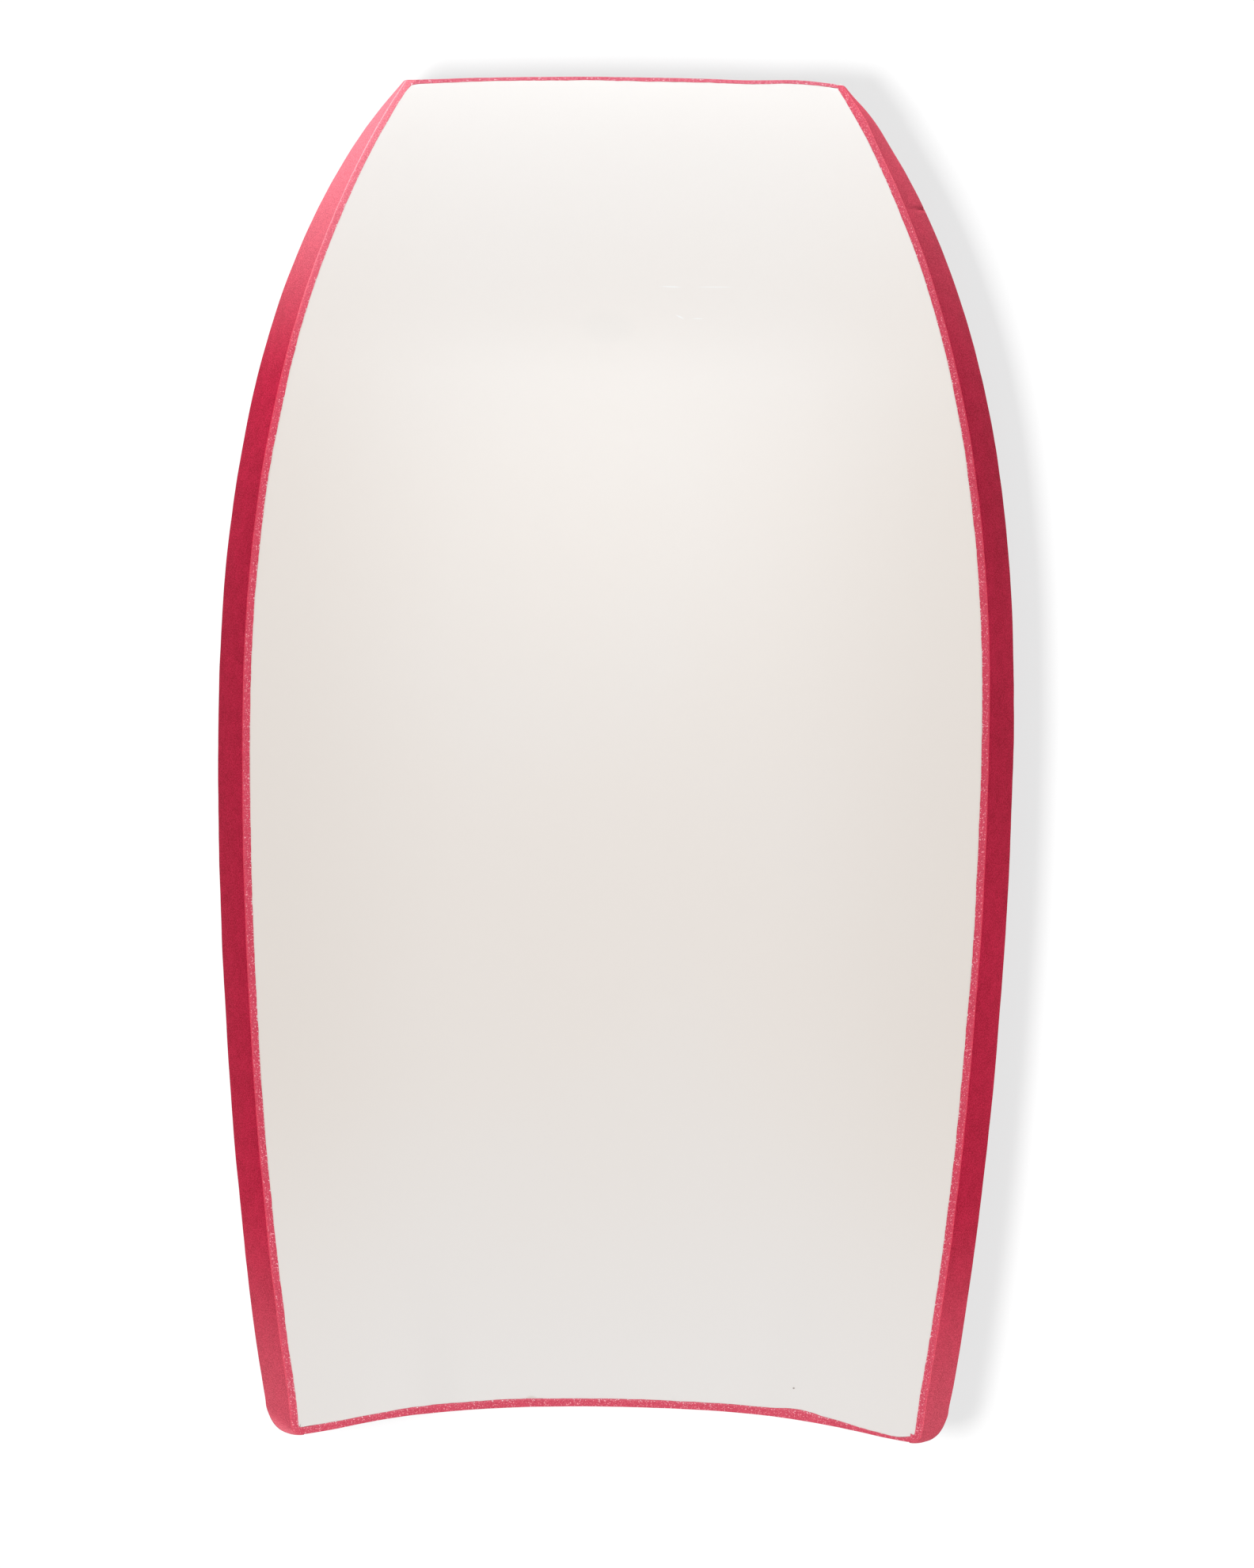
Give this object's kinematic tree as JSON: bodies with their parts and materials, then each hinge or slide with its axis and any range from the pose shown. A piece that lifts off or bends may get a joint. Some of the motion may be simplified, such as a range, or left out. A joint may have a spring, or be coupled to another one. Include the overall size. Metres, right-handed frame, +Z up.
{
  "type": "bodyboard",
  "caption": "Junior bodyboard with a slick plastic bottom, foam deck and rails, crescent tail, nose bulbs and a leash plug.",
  "frame": {"origin": "on the floor that the slick rests on, under the middle of the board's length and width", "axes": "+Y towards the nose, +Z up through the deck, +X across the board to the rider's right"},
  "size_m": [0.4906, 0.839, 0.0659],
  "materials": {
    "slick_plastic": "glossy warm white plastic sheet",
    "rail_foam": "fine-grained closed-cell foam, crimson",
    "deck_foam": "embossed closed-cell foam, crimson",
    "core_foam": "white bead foam",
    "bulb_foam": "grey closed-cell foam",
    "stringer_composite": "black composite tube, satin",
    "cap_rubber": "matte black rubber",
    "plug_plastic": "satin black moulded plastic",
    "pin_steel": "stainless steel"
  },
  "bodies": {
    "root": {"foam_core": "core_foam", "slick_skin": "slick_plastic", "deck_skin": "deck_foam", "rail_lower_left": "rail_foam", "rail_lower_right": "rail_foam", "rail_upper_left": "rail_foam", "rail_upper_right": "rail_foam", "nose_strip": "rail_foam", "tail_strip": "rail_foam", "nose_bulb_left": "bulb_foam", "nose_bulb_right": "bulb_foam", "stringer_tube": "stringer_composite", "stringer_cap_nose": "cap_rubber", "stringer_cap_tail": "cap_rubber", "leash_plug_cup": "plug_plastic", "leash_plug_base": "plug_plastic", "leash_plug_pin": "pin_steel", "leash_plug_washer": "cap_rubber"}
  },
  "joints": []
}
